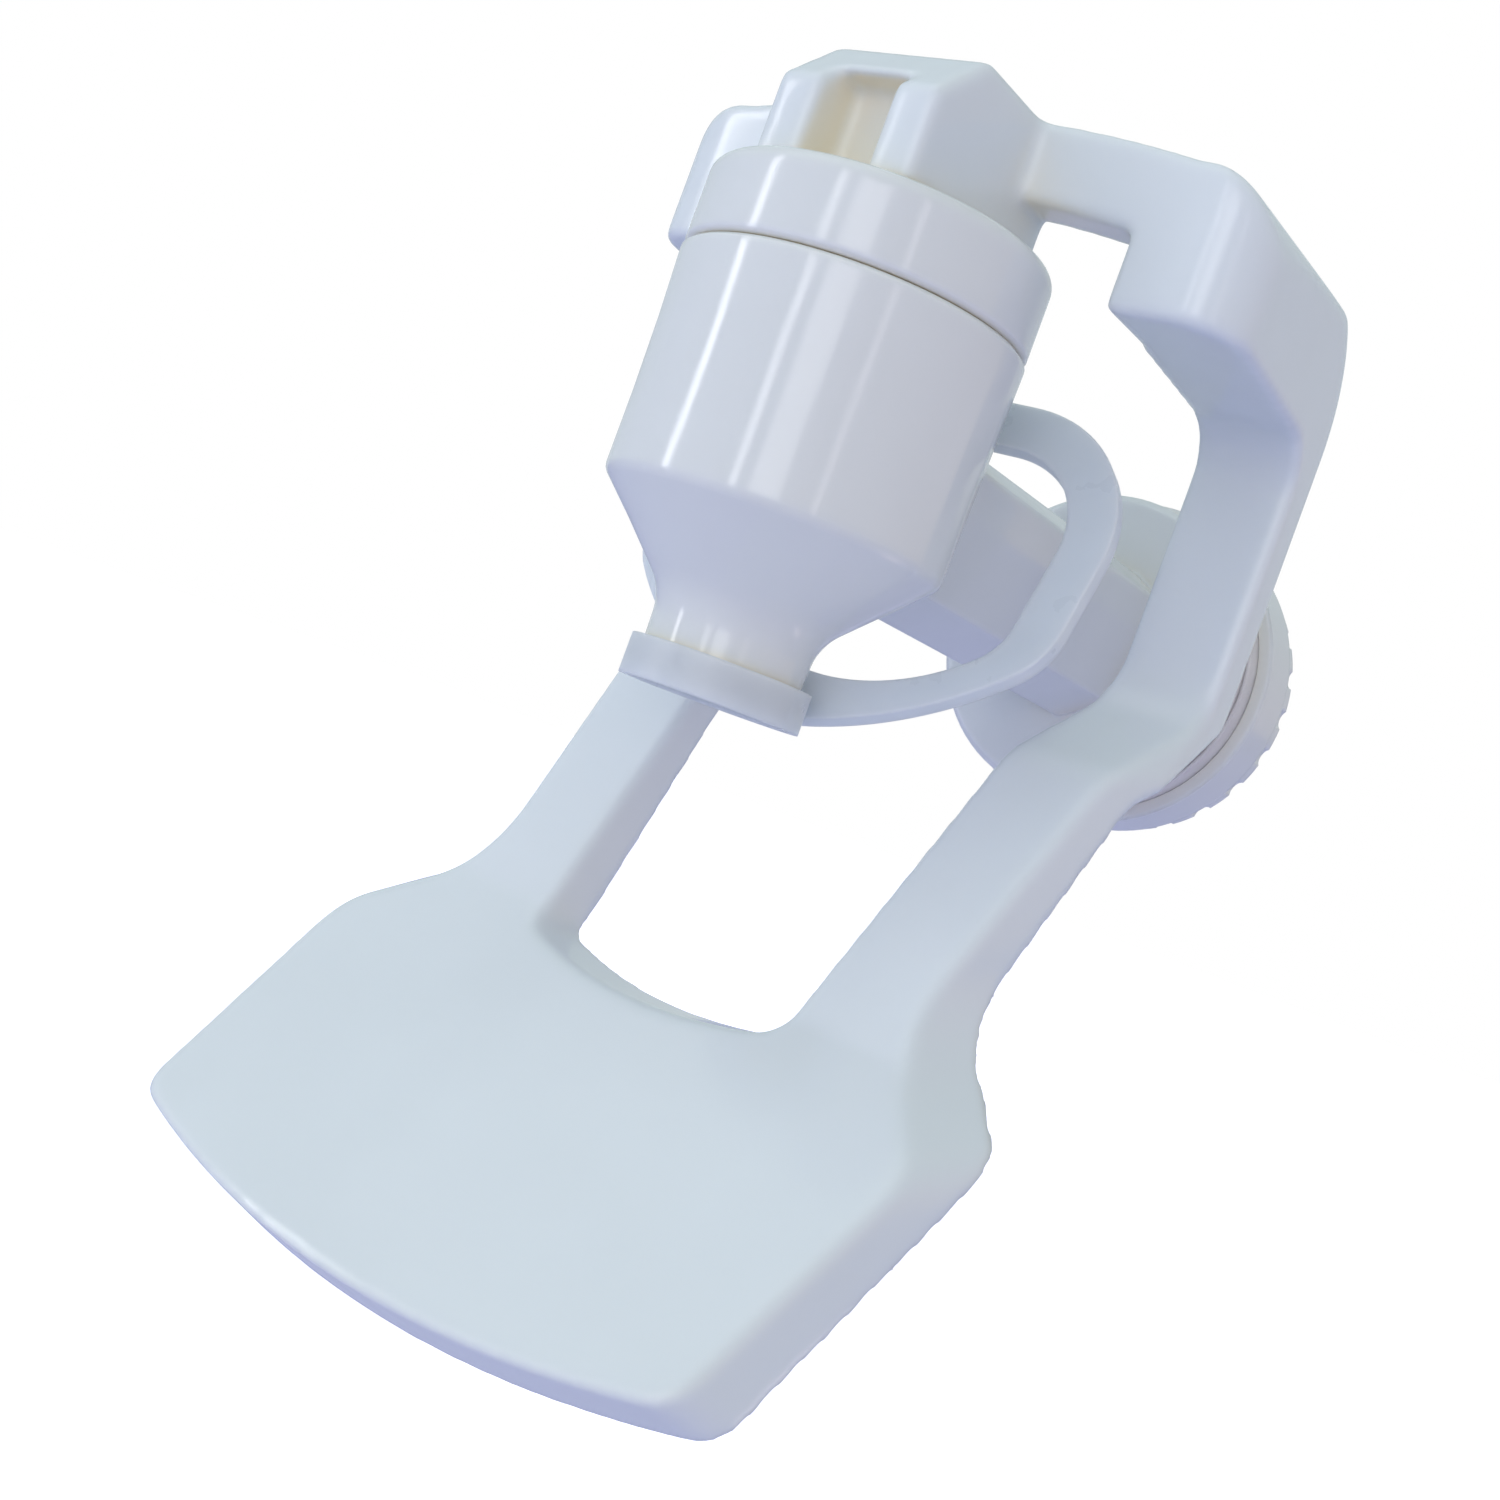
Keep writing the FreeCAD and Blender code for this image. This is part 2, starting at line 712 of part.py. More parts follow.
def loop_feature(name, inset, depth, cut):
    sketch = new_sketch(strap, name + "_outline", "XZ_Plane")
    sketch.AttachmentOffset = FreeCAD.Placement(
        FreeCAD.Vector(0, 0, 0), FreeCAD.Rotation(FreeCAD.Vector(1, 0, 0), -strap_lean.value)
    )
    sketch.setExpression("AttachmentOffset.Base.z", (-strap_setback).text)
    sketch.setExpression("AttachmentOffset.Rotation.Angle", "-" + strap_lean.text + " * 1 deg")
    draw_polygon(sketch, loop_corners(inset))
    feature = strap.newObject("PartDesign::Pocket" if cut else "PartDesign::Pad", name)
    feature.Profile = sketch
    feature.setExpression("Length", depth.text)
    feature.Midplane = True
    sketch.Visibility = False
    doc.recompute()
    return feature


def loop_edges(inset, drop):
    """Picks the edges across the loop's thickness at one corner of its outline."""
    def test(point):
        return near(abs(point.x), (strap_half_width - inset).value) and near(point.z, drop.value, 0.6)
    return test


loop = loop_feature("Loop", zero, strap_thickness, False)
loop = round_edges(strap, "LoopTopRound", loop, loop_edges(zero, strap_top), strap_top_round)
loop = round_edges(strap, "LoopCornerRound", loop, loop_edges(zero, -strap_corner_drop), strap_corner_round)
hole = loop_feature("LoopHole", strap_width, strap_thickness, True)
hole = round_edges(
    strap, "HoleTopRound", hole, loop_edges(strap_width, strap_top - strap_width), strap_top_round - strap_width
)
hole = round_edges(
    strap, "HoleCornerRound", hole, loop_edges(strap_width, -strap_corner_drop),
    strap_corner_round - strap_width * 0.5
)
place(strap, 0, -reach, seam_height)
parts.append(strap)

# Gaskets and lock nut
# They ride on the threaded tail behind the flange and clamp the tank's wall. Each is
# drawn about its own axis and placed along the shank.
def ring_disc(name, radius, thickness, at_y):
    """A flat soft ring that fits the thread."""
    body = new_body(name)
    disc(body, name + "_disc", radius, zero, thickness, axis_z=zero)
    disc(
        body, name + "_hole", thread_radius + thread_play, -outer_room, thickness + outer_room * 2,
        cut=True, axis_z=zero,
    )
    place(body, 0, at_y, 0)
    parts.append(body)
    return body


gasket = ring_disc("flange_gasket", gasket_radius, gasket_thickness, zero)
back_gasket = ring_disc("nut_gasket", back_gasket_radius, back_gasket_thickness, gasket_thickness)

# The nut is a round flange with a scalloped grip behind it.
nut = new_body("lock_nut")
nut_from = gasket_thickness + back_gasket_thickness
nut_plate = disc(nut, "NutFlange", nut_flange_radius, zero, nut_flange_thickness, axis_z=zero)
nut_plate = bevel_edges(
    nut, "NutFlangeBevel", nut_plate, axis_ring(nut_flange_radius, nut_flange_thickness, zero), flange_bevel
)
nut_grip = disc(nut, "NutGrip", nut_grip_radius, zero, nut_height, axis_z=zero)
nut_grip = bevel_edges(
    nut, "NutGripChamfer", nut_grip, axis_ring(nut_grip_radius, nut_height, zero), flange_bevel
)
scallop = disc(
    nut, "NutScallop", nut_rib_radius, nut_flange_thickness, nut_height, cut=True,
    axis_z=nut_grip_radius + nut_rib_radius * 0.4,
)
doc.recompute()
scallops = nut.newObject("PartDesign::PolarPattern", "NutScallops")
scallops.Originals = [scallop]
scallops.Axis = (scallop.Profile[0], ["N_Axis"])
scallops.Angle = 360
scallops.setExpression("Occurrences", nut_ribs.text)
nut.Tip = scallops
doc.recompute()
nut_bore = disc(
    nut, "NutBore", thread_radius + thread_play, -outer_room, nut_height + outer_room * 2, cut=True, axis_z=zero
)
place(nut, 0, nut_from, 0)
parts.append(nut)

# Push lever
# One moulding: a tower over the cap that holds the stem's head, a bridge and two side
# rails round the cup, and two arms that carry the paddle.
lever = new_body("push_lever")
lever_foot = cap_height + seat_gap
lever_top = lever_foot + tower_rise
rail_foot_z = cap_height - rail_foot
split_z = cap_height - split_drop
side_upper = prism(lever, "RailSide", "YZ_Plane", [
    (bridge_front, rail_foot_z),
    (arm_front, rail_foot_z),
    (arm_front, split_z),
    (arm_back, split_z),
    (arm_back, lever_top),
    (bridge_front, lever_top),
], rail_half_width * 2, midplane=True)


def along_x(reach_y, height_z):
    """Picks the edges that run across the lever at one reach and height."""
    def test(point):
        return near(point.y, reach_y.value) and near(point.z, height_z.value)
    return test


def along_y(offset_x, height_z):
    """Picks the edges that run front to back on both sides of the lever."""
    def test(point):
        return near(abs(point.x), offset_x.value) and near(point.z, height_z.value)
    return test


def along_z(offset_x, reach_y):
    """Picks the upright edges on both sides of the lever."""
    def test(point):
        return near(abs(point.x), offset_x.value) and near(point.y, reach_y.value)
    return test


side_upper = round_edges(lever, "RailBackRound", side_upper, along_x(arm_back, lever_top), rail_back_round)
side_upper = round_edges(lever, "ArmpitRound", side_upper, along_x(arm_front, rail_foot_z), armpit_round)

gap_front = rail_inner - (rail_inner - rail_inner_back) * 0.21
gap = prism(lever, "RailGap", "XY_Plane", [
    (-gap_front, bridge_back),
    (gap_front, bridge_back),
    (rail_inner_back, rail_straight),
    (rail_inner_back, arm_back + outer_room),
    (-rail_inner_back, arm_back + outer_room),
    (-rail_inner_back, rail_straight),
], lever_top * 4, midplane=True, cut=True)
doc.recompute()
under_z = cap_height + bridge_underside
arch = prism(lever, "BridgeArch", "XZ_Plane", [
    (-gap_front, rail_foot_z - outer_room),
    (gap_front, rail_foot_z - outer_room),
    (gap_front, under_z, bridge_arch),
    (-gap_front, under_z),
], bridge_back + outer_room, cut=True)
doc.recompute()

# Arms and paddle: a side outline, then outer walls that flare towards the back, a foot
# that tilts down towards the back, and the window.
arm_outer_z = cap_height - arm_outer_drop
shoulder_x = arm_outer_foot + shoulder_reach
shoulder_z = arm_outer_z - shoulder_fall
foot_x = shoulder_x - side_draw_in
foot_z = shoulder_z - paddle_height
foot_side_z = foot_z + paddle_foot_bow
bend_z = arm_outer_z - bend_below
arm_slope = tangent(arm_lean)
paddle_slope = tangent(paddle_lean)
jog_top_z = cap_height - jog_top_drop
jog_foot_z = cap_height - jog_foot_drop
jog_foot_y = bend_reach + arm_slope * (jog_foot_z - bend_z)
arm_outer_y = bend_reach + arm_slope * (arm_outer_z - bend_z)
shoulder_y = bend_reach - paddle_slope * (bend_z - shoulder_z)
side_y = bend_reach - paddle_slope * (bend_z - foot_side_z)
foot_y = bend_reach - paddle_slope * (bend_z - foot_z)
knee_z = cap_height - knee_drop
jog_back_z = cap_height - jog_back_drop
paddle_back_slope = (bend_reach + back_bend_depth - foot_y - paddle_depth) / (bend_z - foot_z)
below = outer_room * 1.5
side_lower = prism(lever, "ArmSide", "YZ_Plane", [
    (arm_front, split_z),
    (arm_front, jog_top_z),
    (jog_foot_y, jog_foot_z),
    (bend_reach, bend_z),
    (foot_y - paddle_slope * below, foot_z - below),
    (foot_y + paddle_depth - paddle_back_slope * below, foot_z - below),
    (bend_reach + back_bend_depth, bend_z),
    (knee_reach, knee_z),
    (arm_back, jog_back_z),
    (arm_back, split_z),
], (shoulder_x + outer_room) * 2, midplane=True)
doc.recompute()

# Plan of the rails: rounded front cheeks, outer walls that close in towards the back.
cheek_x = rail_inner + rail_front_width
for side in (1, -1):
    name = "OuterRight" if side == 1 else "OuterLeft"
    bow = rail_cheek_bow * -side
    corners = [
        (cheek_x * side, bridge_front, bow * -1),
        (rail_half_width * side, rail_cheek_back),
        (rail_outer_back * side, arm_back + outer_room),
        ((rail_half_width + outer_room) * side, arm_back + outer_room),
        ((rail_half_width + outer_room) * side, bridge_front - outer_room),
        (cheek_x * side, bridge_front - outer_room),
    ]
    trim = prism(lever, name, "XY_Plane", corners, lever_top * 4, midplane=True, cut=True)
    doc.recompute()

for side in (1, -1):
    name = "OutlineRight" if side == 1 else "OutlineLeft"
    corners = [
        (zero, lever_top, top_bow * -side),
        (top_shoulder_x * side, lever_top - top_shoulder_drop, rail_shoulder_bow * -side),
        (rail_half_width * side, lever_top - rail_shoulder_drop),
        (rail_half_width * side, rail_foot_z),
        ((rail_half_width + outer_room) * side, rail_foot_z),
        ((rail_half_width + outer_room) * side, lever_top + outer_room),
        (zero, lever_top + outer_room),
    ]
    trim = prism(lever, name, "XZ_Plane", corners, arm_back * 4, midplane=True, cut=True)
    doc.recompute()

# Behind the front outline the outer walls run along one slanting line: out by the
# flare and up by the rise for each step back.
flare_x = tangent(wall_flare)
flare_z = tangent(wall_rise)
flare = root(flare_x * flare_x + flare_z * flare_z)
flare_cosine = plain(1) / root(flare * flare + 1)
flare_sine = flare * flare_cosine
axis_x = flare_z / flare
axis_z = -(flare_x / flare)
skew = axis_x * axis_z * (plain(1) - flare_cosine)
across_x = flare_cosine + axis_x * axis_x * (plain(1) - flare_cosine)
upright_z = flare_cosine + axis_z * axis_z * (plain(1) - flare_cosine)


def flared(x, y, z):
    """Where a point lies, seen along the slanting line: out and up."""
    out = x * across_x + y * axis_z * flare_sine + z * skew
    up = x * skew - y * axis_x * flare_sine + z * upright_z
    return out, up


wall_draw = (rail_half_width - arm_outer_foot) / (rail_foot_z - arm_outer_z)
jog_top_x = arm_outer_foot + wall_draw * (jog_top_z - arm_outer_z)
jog_foot_x = arm_outer_foot + wall_draw * (jog_foot_z - arm_outer_z)
side_foot_z = foot_z - below * 4
side_draw = (shoulder_x - foot_x) / (shoulder_z - foot_side_z)
side_foot_x = foot_x - side_draw * (foot_side_z - side_foot_z)
side_foot_y = bend_reach - paddle_slope * (bend_z - side_foot_z)
wall_top = flared(rail_half_width, arm_front, rail_foot_z)
run_z = arm_outer_z + shoulder_inner_run
run_top = flared(
    arm_outer_foot + wall_draw * shoulder_inner_run, bend_reach + arm_slope * (run_z - bend_z), run_z
)
run_step = shoulder_inner_run * shoulder_reach / root(
    shoulder_reach * shoulder_reach + shoulder_fall * shoulder_fall
)
run_foot_z = arm_outer_z - run_step * shoulder_fall / shoulder_reach
run_foot = flared(
    arm_outer_foot + run_step, bend_reach - paddle_slope * (bend_z - run_foot_z), run_foot_z
)
shoulder_corner = flared(shoulder_x, shoulder_y, shoulder_z)
foot_corner = flared(foot_x, side_y, foot_side_z)
side_end = flared(side_foot_x, side_foot_y, side_foot_z)
wall_corners = [
    wall_top,
    flared(jog_top_x, arm_front, jog_top_z),
    flared(jog_foot_x, jog_foot_y, jog_foot_z),
    (run_top[0], run_top[1], shoulder_inner_bow),
    run_foot,
    shoulder_corner,
    foot_corner,
    side_end,
    (shoulder_corner[0] + outer_room * 4, side_end[1]),
    (shoulder_corner[0] + outer_room * 4, wall_top[1]),
]
for side in (1, -1):
    name = "FlareRight" if side == 1 else "FlareLeft"
    corners = []
    for corner in wall_corners:
        corners.append((corner[0] * side, corner[1]) + tuple(bow * side for bow in corner[2:]))
    trim = prism(
        lever, name, "XZ_Plane", corners,
        arm_back * 4, midplane=True, cut=True,
        tilt=(axis_x, axis_z * side, slope_angle(flare)),
    )
    doc.recompute()

tilt_cosine = cosine(foot_tilt)
tilt_sine = sine(foot_tilt)


def tilted(y, z):
    """How high a point lies, seen along the tilt of the paddle's foot."""
    return y * tilt_sine + z * tilt_cosine


foot_low = tilted(foot_y, foot_z)
foot_sag = tilted(side_y, foot_side_z) - foot_low
foot_radius = (foot_x * foot_x + foot_sag * foot_sag) / (foot_sag * 2)
foot_wide = foot_x + outer_room
foot_wide_sag = foot_radius - root(foot_radius * foot_radius - foot_wide * foot_wide)
foot_cut = prism(lever, "PaddleFoot", "XZ_Plane", [
    (-foot_wide, foot_low + foot_wide_sag, foot_wide_sag),
    (foot_wide, foot_low + foot_wide_sag),
    (foot_wide, foot_low - outer_room * 4),
    (-foot_wide, foot_low - outer_room * 4),
], arm_back * 4, midplane=True, cut=True, tilt=(1, 0, -foot_tilt))
doc.recompute()
def along_flare(corner):
    """Picks the edges that follow the slanting line on both sides."""
    def test(point):
        out, up = flared(plain(abs(point.x)), plain(point.y), plain(point.z))
        return near(out.value, corner[0].value) and near(up.value, corner[1].value)
    return test


def paddle_corner(point):
    """Picks the edge between each side wall of the paddle and its foot."""
    out, up = flared(plain(abs(point.x)), plain(point.y), plain(point.z))
    fall = (foot_corner[1].value - up.value) / (foot_corner[1].value - side_end[1].value)
    wall = foot_corner[0].value + fall * (side_end[0].value - foot_corner[0].value)
    return near(out.value, wall, 0.05) and point.z < foot_side_z.value + 0.3


def back_corner(point):
    """Picks the upright edge at the back of each rail."""
    outside = abs(point.x) > rail_outer_back.value and point.z > jog_back_z.value - 0.1
    return near(point.y, arm_back.value) and outside


arm_inner_foot = arm_outer_foot - arm_face_width
window_z = arm_outer_z - window_below
form = round_edges(lever, "ShoulderOuterRound", foot_cut, along_flare(shoulder_corner), shoulder_outer_round)
form = round_edges(lever, "PaddleCornerRound", form, paddle_corner, paddle_corner_round)
form = prism(lever, "Window", "XZ_Plane", [
    (-rail_inner_back, split_z + outer_room),
    (-rail_inner_back, split_z),
    (-arm_inner_foot, window_z, window_bow),
    (arm_inner_foot, window_z),
    (rail_inner_back, split_z),
    (rail_inner_back, split_z + outer_room),
], arm_back * 4, midplane=True, cut=True)
doc.recompute()
form = round_edges(lever, "WindowRound", form, along_y(arm_inner_foot, window_z), window_round)
form = round_edges(lever, "JogRound", form, along_x(arm_front, jog_top_z), jog_round)
form = round_edges(lever, "JogFootRound", form, along_x(jog_foot_y, jog_foot_z), jog_round)
form = round_edges(lever, "KneeRound", form, along_x(knee_reach, knee_z), jog_round)
form = round_edges(lever, "RailCornerRound", form, back_corner, back_edge_round)

# Tower with its front pocket and the slot for the stem's head.
tower = prism(lever, "Tower", "YZ_Plane", [
    (-hinge_setback, lever_foot),
    (tower_back, lever_foot),
    (tower_back, lever_top),
    (-tower_ridge, lever_top),
    (-hinge_setback, lever_foot + tower_front_rise),
], tower_half_width * 2, midplane=True)
doc.recompute()
pocket = prism(lever, "FrontPocket", "XZ_Plane", [
    (-pocket_half_width, lever_foot - outer_room),
    (pocket_half_width, lever_foot - outer_room),
    (pocket_half_width, lever_foot + pocket_ceiling),
    (-pocket_half_width, lever_foot + pocket_ceiling),
], hinge_setback + outer_room - pocket_back, offset=hinge_setback + outer_room, cut=True)
doc.recompute()
ledge_z = head_height - head_radius - head_play
slot_top = head_height + head_radius + head_top_play
slot_half = head_length * 0.5 + head_end_play
neck_half = stem_radius + slot_side_play
slot_depth = slot_front + tower_back + outer_room
head_slot = prism(lever, "HeadSlot", "XZ_Plane", [
    (-slot_half, ledge_z),
    (slot_half, ledge_z),
    (slot_half, slot_top),
    (-slot_half, slot_top),
], slot_depth, offset=slot_front, cut=True)
doc.recompute()
neck_slot = prism(lever, "NeckSlot", "XZ_Plane", [
    (-neck_half, lever_foot - outer_room),
    (neck_half, lever_foot - outer_room),
    (neck_half, ledge_z + outer_room * 0.1),
    (-neck_half, ledge_z + outer_room * 0.1),
], slot_depth, offset=slot_front, cut=True)
doc.recompute()
place(lever, 0, -reach, seam_height)
parts.append(lever)

doc.recompute()
for part in parts:
    print(part.Label, "has a volume of", round(part.Shape.Volume), "cubic millimetres")

failed = []
for item in doc.Objects:
    if "Invalid" in item.State or "Error" in item.State:
        failed.append(item.Name)
if failed:
    raise RuntimeError("objects that failed: " + ", ".join(failed))
for part in parts:
    if part.Shape.isNull() or not part.Shape.isValid():
        raise RuntimeError("bad shape: " + part.Label)
for part in parts:
    part.Shape.exportStep("parts/" + part.Label + ".step")
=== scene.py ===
# %% [markdown]
# This tap is moulded in glossy white plastic: a cup with a cap, a long shank
# that goes through the wall of a tank, and a forked lever with a wide paddle.
# Its solids come in ready made, so this lesson gives them their finishes,
# adds the screw threads, and sets up the light and the camera.

import math

import bmesh
import bpy
from mathutils import Matrix, Vector


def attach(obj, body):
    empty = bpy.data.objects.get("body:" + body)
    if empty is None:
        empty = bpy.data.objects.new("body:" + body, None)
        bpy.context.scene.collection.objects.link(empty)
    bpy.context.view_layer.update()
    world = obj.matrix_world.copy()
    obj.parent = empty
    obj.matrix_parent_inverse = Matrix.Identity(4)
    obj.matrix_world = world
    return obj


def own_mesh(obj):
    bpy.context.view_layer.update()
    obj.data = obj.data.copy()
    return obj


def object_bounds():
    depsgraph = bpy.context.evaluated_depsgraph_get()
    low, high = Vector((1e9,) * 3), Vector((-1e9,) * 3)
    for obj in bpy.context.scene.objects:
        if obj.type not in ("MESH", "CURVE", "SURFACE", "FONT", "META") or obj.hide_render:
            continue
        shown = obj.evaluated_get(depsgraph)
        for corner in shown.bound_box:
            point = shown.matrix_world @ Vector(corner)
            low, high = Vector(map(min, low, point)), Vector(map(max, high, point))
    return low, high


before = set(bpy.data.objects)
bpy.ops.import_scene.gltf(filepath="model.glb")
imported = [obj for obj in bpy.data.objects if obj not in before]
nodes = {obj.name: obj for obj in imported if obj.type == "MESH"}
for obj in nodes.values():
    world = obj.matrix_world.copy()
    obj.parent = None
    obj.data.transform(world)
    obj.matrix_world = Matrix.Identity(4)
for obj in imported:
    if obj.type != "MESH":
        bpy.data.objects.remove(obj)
cad_low, cad_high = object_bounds()
MM = 0.001
print("pieces", sorted(nodes))
print("overall size in mm", [round(v / MM, 1) for v in cad_high - cad_low])


# %% [markdown]
# A moulded plastic is never quite even: the gloss changes a little where the
# mould was hotter, and the skin has a very shallow waviness that only the
# reflections show. Two soft noises on the object's own coordinates give that,
# one for the roughness and one for a bump, so the colour can stay plain.

# %% Node helpers
def new_material(name):
    """A fresh material with its Principled shader."""
    material = bpy.data.materials.new(name)
    material.use_nodes = True
    return material, material.node_tree.nodes["Principled BSDF"]


def add_noise(tree, scale, detail=3.0, stretch=(1, 1, 1)):
    """A noise on Object coordinates, with its size in features per metre."""
    place = tree.nodes.new("ShaderNodeTexCoord")
    turn = tree.nodes.new("ShaderNodeMapping")
    turn.inputs["Scale"].default_value = stretch
    noise = tree.nodes.new("ShaderNodeTexNoise")
    noise.inputs["Scale"].default_value = scale
    noise.inputs["Detail"].default_value = detail
    tree.links.new(place.outputs["Object"], turn.inputs["Vector"])
    tree.links.new(turn.outputs["Vector"], noise.inputs["Vector"])
    return noise.outputs["Fac"]


def spread(tree, value, low, high):
    """Maps a noise's middle range onto low to high."""
    ramp = tree.nodes.new("ShaderNodeMapRange")
    ramp.inputs["From Min"].default_value = 0.3
    ramp.inputs["From Max"].default_value = 0.7
    ramp.inputs["To Min"].default_value = low
    ramp.inputs["To Max"].default_value = high
    tree.links.new(value, ramp.inputs["Value"])
    return ramp.outputs["Result"]


def add_bump(tree, shader, value, distance):
    """Bumps a shader by a height in metres."""
    bump = tree.nodes.new("ShaderNodeBump")
    bump.inputs["Distance"].default_value = distance
    bump.inputs["Strength"].default_value = 1.0
    tree.links.new(value, bump.inputs["Height"])
    tree.links.new(bump.outputs["Normal"], shader.inputs["Normal"])
    return bump


# %% [markdown]
# No moulding has truly sharp edges: the tool steel and the polishing leave soft
# ones, which catch the light as a thin line. The shader's Bevel node rounds the
# normal near each of them, and where that rounded normal leaves the flat one
# there is a rim, so the same node also says where a painted highlight goes: the
# colour is painted lighter along each rim.
# Deep corners gather light that has bounced off warm plastic many times, and
# that warm bounce light is painted into their colour as cream: the Ambient
# Occlusion node finds them.

# %% Soft edges and deep corners
def soft_edge(tree, radius):
    """A normal rounded near edges, and a mask that is 1 on a rim, for a painted highlight."""
    rounded = tree.nodes.new("ShaderNodeBevel")
    rounded.samples = 6
    rounded.inputs["Radius"].default_value = radius
    flat = tree.nodes.new("ShaderNodeNewGeometry")
    dot = tree.nodes.new("ShaderNodeVectorMath")
    dot.operation = "DOT_PRODUCT"
    tree.links.new(rounded.outputs["Normal"], dot.inputs[0])
    tree.links.new(flat.outputs["Normal"], dot.inputs[1])
    edge_highlight_mask = tree.nodes.new("ShaderNodeMapRange")
    edge_highlight_mask.inputs["From Min"].default_value = 0.995
    edge_highlight_mask.inputs["From Max"].default_value = 0.9
    tree.links.new(dot.outputs["Value"], edge_highlight_mask.inputs["Value"])
    return rounded.outputs["Normal"], edge_highlight_mask.outputs["Result"]


def deep_corner(tree, reach):
    """A value that is 1 in narrow corners and 0 in the open."""
    closed = tree.nodes.new("ShaderNodeAmbientOcclusion")
    closed.samples = 6
    closed.inputs["Distance"].default_value = reach
    deep = tree.nodes.new("ShaderNodeMapRange")
    deep.inputs["From Min"].default_value = 0.72
    deep.inputs["From Max"].default_value = 0.25
    tree.links.new(closed.outputs["AO"], deep.inputs["Value"])
    return deep.outputs["Result"]


def mix_colour(tree, factor, first, second):
    """Mixes two colours, each a tuple or a socket."""
    mix = tree.nodes.new("ShaderNodeMix")
    mix.data_type = "RGBA"
    tree.links.new(factor, mix.inputs["Factor"])
    for letter, colour in (("A", first), ("B", second)):
        socket = mix.inputs[letter]
        if isinstance(colour, tuple):
            socket.default_value = (*colour, 1)
        else:
            tree.links.new(colour, socket)
    return mix.outputs["Result"]


# %% [markdown]
# The white parts are a glossy styrene plastic. It lets a little light in,
# which softens its shaded sides, so it has a small subsurface share. Its
# colour drifts by a per cent or two, and hands leave fine marks in the gloss.

# %% Moulded plastic
# Painted bounce light: the warm cream that is painted into deep corners.
CORNER_BOUNCE_CREAM = (0.87, 0.81, 0.66)


def tint(colour, share, top=1.0):
    """A colour made lighter or darker by a share, and held below a top."""
    return tuple(min(part * share, top) for part in colour)


def moulded_plastic(name, colour, gloss_low, gloss_high, wave, soft):
    """Glossy white plastic with soft edges, uneven gloss and a shallow waviness."""
    material, shader = new_material(name)
    tree = material.node_tree
    shader.inputs["IOR"].default_value = 1.52
    shader.inputs["Subsurface Weight"].default_value = 0.10
    shader.inputs["Subsurface Radius"].default_value = (1.0, 0.9, 0.85)
    shader.inputs["Subsurface Scale"].default_value = 1.2 * MM
    normal, edge_highlight_mask = soft_edge(tree, soft)
    drift = spread(tree, add_noise(tree, 60), 0, 1)
    paint = mix_colour(tree, drift, colour, tint(colour, 0.975))
    # Painted bounce light: deep corners are painted cream, for warm light bounced inside them.
    paint = mix_colour(tree, deep_corner(tree, 9 * MM), paint, CORNER_BOUNCE_CREAM)
    # Painted highlight: the colour is made lighter along the rims, where light catches them.
    paint = mix_colour(tree, edge_highlight_mask, paint, tint(colour, 1.16, 0.94))
    tree.links.new(paint, shader.inputs["Base Color"])
    rough = spread(tree, add_noise(tree, 140, 4.0), gloss_low, gloss_high)
    marks = spread(tree, add_noise(tree, 700, 2.0, (1, 0.08, 0.3)), 0.0, 0.05)
    total = tree.nodes.new("ShaderNodeMath")
    tree.links.new(rough, total.inputs[0])
    tree.links.new(marks, total.inputs[1])
    tree.links.new(total.outputs[0], shader.inputs["Roughness"])
    bump = add_bump(tree, shader, add_noise(tree, 60, 2.0), wave)
    tree.links.new(normal, bump.inputs["Normal"])
    return material


body_white = moulded_plastic("body_white", (0.75, 0.78, 0.79), 0.04, 0.11, 0.20 * MM, 0.8 * MM)
lever_white = moulded_plastic("lever_white", (0.75, 0.80, 0.84), 0.06, 0.14, 0.12 * MM, 1.2 * MM)
print("plastics", body_white.name, lever_white.name)


# %% [markdown]
# The strap that holds the nozzle's collar is soft clear silicone: it is milky,
# light goes through it, and its skin is a little dull from handling. The seals
# are a duller and warmer silicone. The spring is bright drawn wire, and the
# stem is moulded in a plainer white plastic with less gloss.

# %% Silicone, rubber, steel and stem
def milky_silicone(name, colour, rough):
    """Milky silicone, lit from within, with a slightly uneven skin."""
    material, shader = new_material(name)
    tree = material.node_tree
    shader.inputs["IOR"].default_value = 1.41
    shader.inputs["Subsurface Weight"].default_value = 0.8
    shader.inputs["Subsurface Radius"].default_value = (1.0, 1.0, 1.0)
    shader.inputs["Subsurface Scale"].default_value = 2.5 * MM
    normal, edge_highlight_mask = soft_edge(tree, 0.4 * MM)
    cloud = spread(tree, add_noise(tree, 90), 0, 1)
    paint = mix_colour(tree, cloud, colour, tint(colour, 0.94))
    # Painted highlight: the silicone's colour is made a little lighter along its rims.
    paint = mix_colour(tree, edge_highlight_mask, paint, tint(colour, 1.08, 0.95))
    tree.links.new(paint, shader.inputs["Base Color"])
    handled = spread(tree, add_noise(tree, 260, 4.0), rough - 0.05, rough + 0.07)
    tree.links.new(handled, shader.inputs["Roughness"])
    bump = add_bump(tree, shader, add_noise(tree, 120, 1.0), 0.05 * MM)
    tree.links.new(normal, bump.inputs["Normal"])
    return material


def drawn_wire(name):
    """Bright stainless wire, with fine marks along its drawing direction."""
    material, shader = new_material(name)
    tree = material.node_tree
    shader.inputs["Base Color"].default_value = (0.62, 0.62, 0.63, 1)
    shader.inputs["Metallic"].default_value = 1.0
    marks = spread(tree, add_noise(tree, 900, 2.0, (1, 1, 6)), 0.22, 0.36)
    tree.links.new(marks, shader.inputs["Roughness"])
    return material


